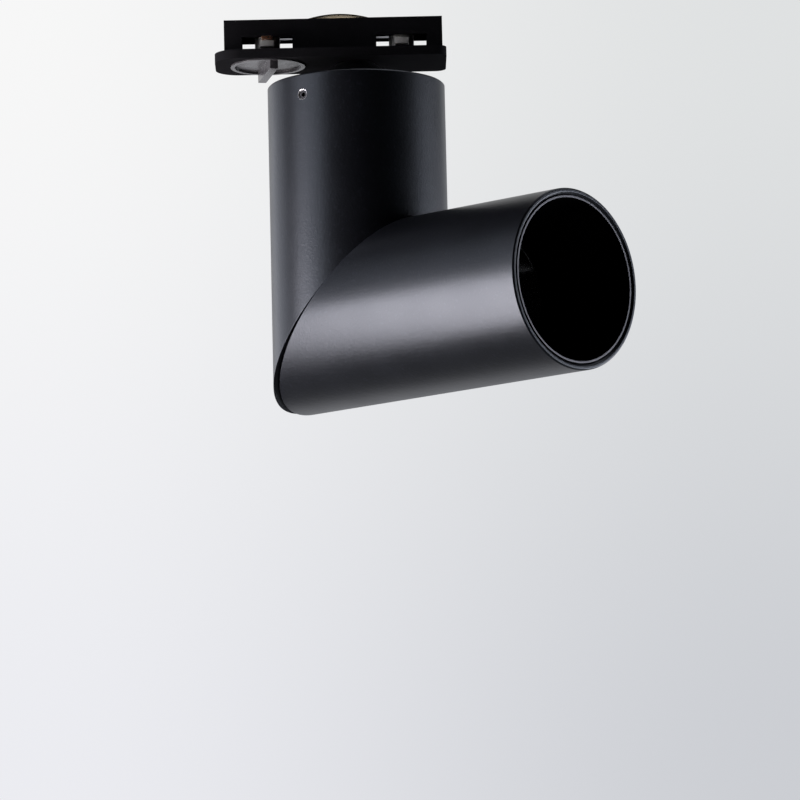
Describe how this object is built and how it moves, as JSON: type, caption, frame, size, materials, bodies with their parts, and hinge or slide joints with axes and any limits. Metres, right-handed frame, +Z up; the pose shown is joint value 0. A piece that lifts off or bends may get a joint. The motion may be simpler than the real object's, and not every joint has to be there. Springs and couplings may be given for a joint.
{
  "type": "track spotlight",
  "caption": "Charcoal track spotlight of two equal tubes meeting at a mitre: the upper tube pans under a black track adapter and the head turns on the mitre to tip the beam.",
  "frame": {"origin": "on the pan axis, in the plane where the adapter's flange bears on the lower face of the track", "axes": "+Z up along the pan axis, +X along the track away from the lock knob, -Y towards the viewer of the picture"},
  "size_m": [0.1496, 0.1307, 0.1458],
  "materials": {
    "adapter_plastic": "smooth black moulding with a slight sheen",
    "knob_plastic": "smooth black moulding with a slight sheen",
    "collar_coat": "black satin coat",
    "upper_coat": "fine-textured charcoal powder coat",
    "head_coat": "fine-textured charcoal powder coat",
    "cap_coat": "black satin coat",
    "plate_coat": "matt black coat",
    "zinc_steel": "bright zinc plate",
    "set_screw_steel": "black oxide",
    "spring_steel": "plain spring steel",
    "link_steel": "stamped, zinc plated",
    "bracket_steel": "folded, zinc plated",
    "spring_brass": "plain",
    "nut_brass": "turned",
    "contact_copper": "plain copper",
    "rotor_plastic": "moulded",
    "nylon": "natural nylon",
    "driver_case": "moulded",
    "live_insulation": "extruded",
    "neutral_insulation": "extruded",
    "input_insulation": "extruded",
    "lead_insulation": "extruded",
    "sink_aluminium": "plain extruded",
    "board_white": "white solder mask on a metal core",
    "emitter_phosphor": "phosphor",
    "holder_plastic": "black moulding",
    "reflector_smoke": "dark metallised, for low glare",
    "clear_glass": "clear",
    "baffle_black": "deep matt black with a bare edge at the lip"
  },
  "bodies": {
    "adapter": {"adapter_base": "adapter_plastic", "adapter_lid": "adapter_plastic", "lid_screws": "zinc_steel", "earth_spring": "spring_brass", "swivel_stem": "zinc_steel", "neck_collar": "collar_coat", "pan_wave_washer": "spring_steel", "pan_stop_washer": "spring_steel", "stem_nut": "nut_brass", "live_lead": "live_insulation", "neutral_lead": "neutral_insulation"},
    "lock": {"lock_knob": "knob_plastic", "front_rotor": "rotor_plastic", "live_contact": "contact_copper"},
    "rear_lock": {"rear_rotor": "rotor_plastic", "neutral_contact": "contact_copper"},
    "link": {"link_bar": "link_steel"},
    "upper_arm": {"upper_tube": "upper_coat", "top_cap": "cap_coat", "glide_washer": "nylon", "set_screws": "set_screw_steel", "pan_stop_pin": "zinc_steel", "driver_bracket": "bracket_steel", "bracket_screws": "zinc_steel", "driver_screws": "zinc_steel", "led_driver": "driver_case", "input_leads": "input_insulation", "output_lead": "lead_insulation", "tube_end_plate": "plate_coat", "turn_stop_pin": "zinc_steel"},
    "head": {"head_tube": "head_coat", "head_end_plate": "plate_coat", "joint_washer": "nylon", "pivot_sleeve": "zinc_steel", "turn_wave_washer": "spring_steel", "turn_stop_washer": "spring_steel", "pivot_nut": "nut_brass", "heat_sink": "sink_aluminium", "led_board": "board_white", "led_chip": "emitter_phosphor", "led_holder": "holder_plastic", "holder_screws": "zinc_steel", "reflector": "reflector_smoke", "front_glass": "clear_glass", "baffle": "baffle_black", "head_lead": "lead_insulation"}
  },
  "joints": [
    {"name": "pan_swivel", "type": "hinge", "parent": "adapter", "child": "upper_arm", "pos_m": [0, 0, -0.012], "axis": [0, 0, 1], "range_deg": [-133, 207]},
    {"name": "head_turn", "type": "hinge", "parent": "upper_arm", "child": "head", "pos_m": [0, 0, -0.0975], "axis": [0.5647, -0.4255, -0.7071], "range_deg": [0, 340]},
    {"name": "lock_turn", "type": "hinge", "parent": "adapter", "child": "lock", "pos_m": [-0.0322, 0, 0], "axis": [0, 0, 1], "range_deg": [0, 90]},
    {"name": "rear_lock_turn", "type": "hinge", "parent": "adapter", "child": "rear_lock", "pos_m": [0.017, 0, 0], "axis": [0, 0, 1], "range_deg": [0, 90]},
    {"name": "link_swing", "type": "hinge", "parent": "lock", "child": "link", "pos_m": [-0.03008, 0.00212, 0.0075], "axis": [0, 0, 1], "range_deg": [-90, 0]}
  ],
  "couplings": [
    {"joint": "rear_lock_turn", "follows": "lock_turn", "ratio": 1},
    {"joint": "link_swing", "follows": "lock_turn", "ratio": -1}
  ]
}
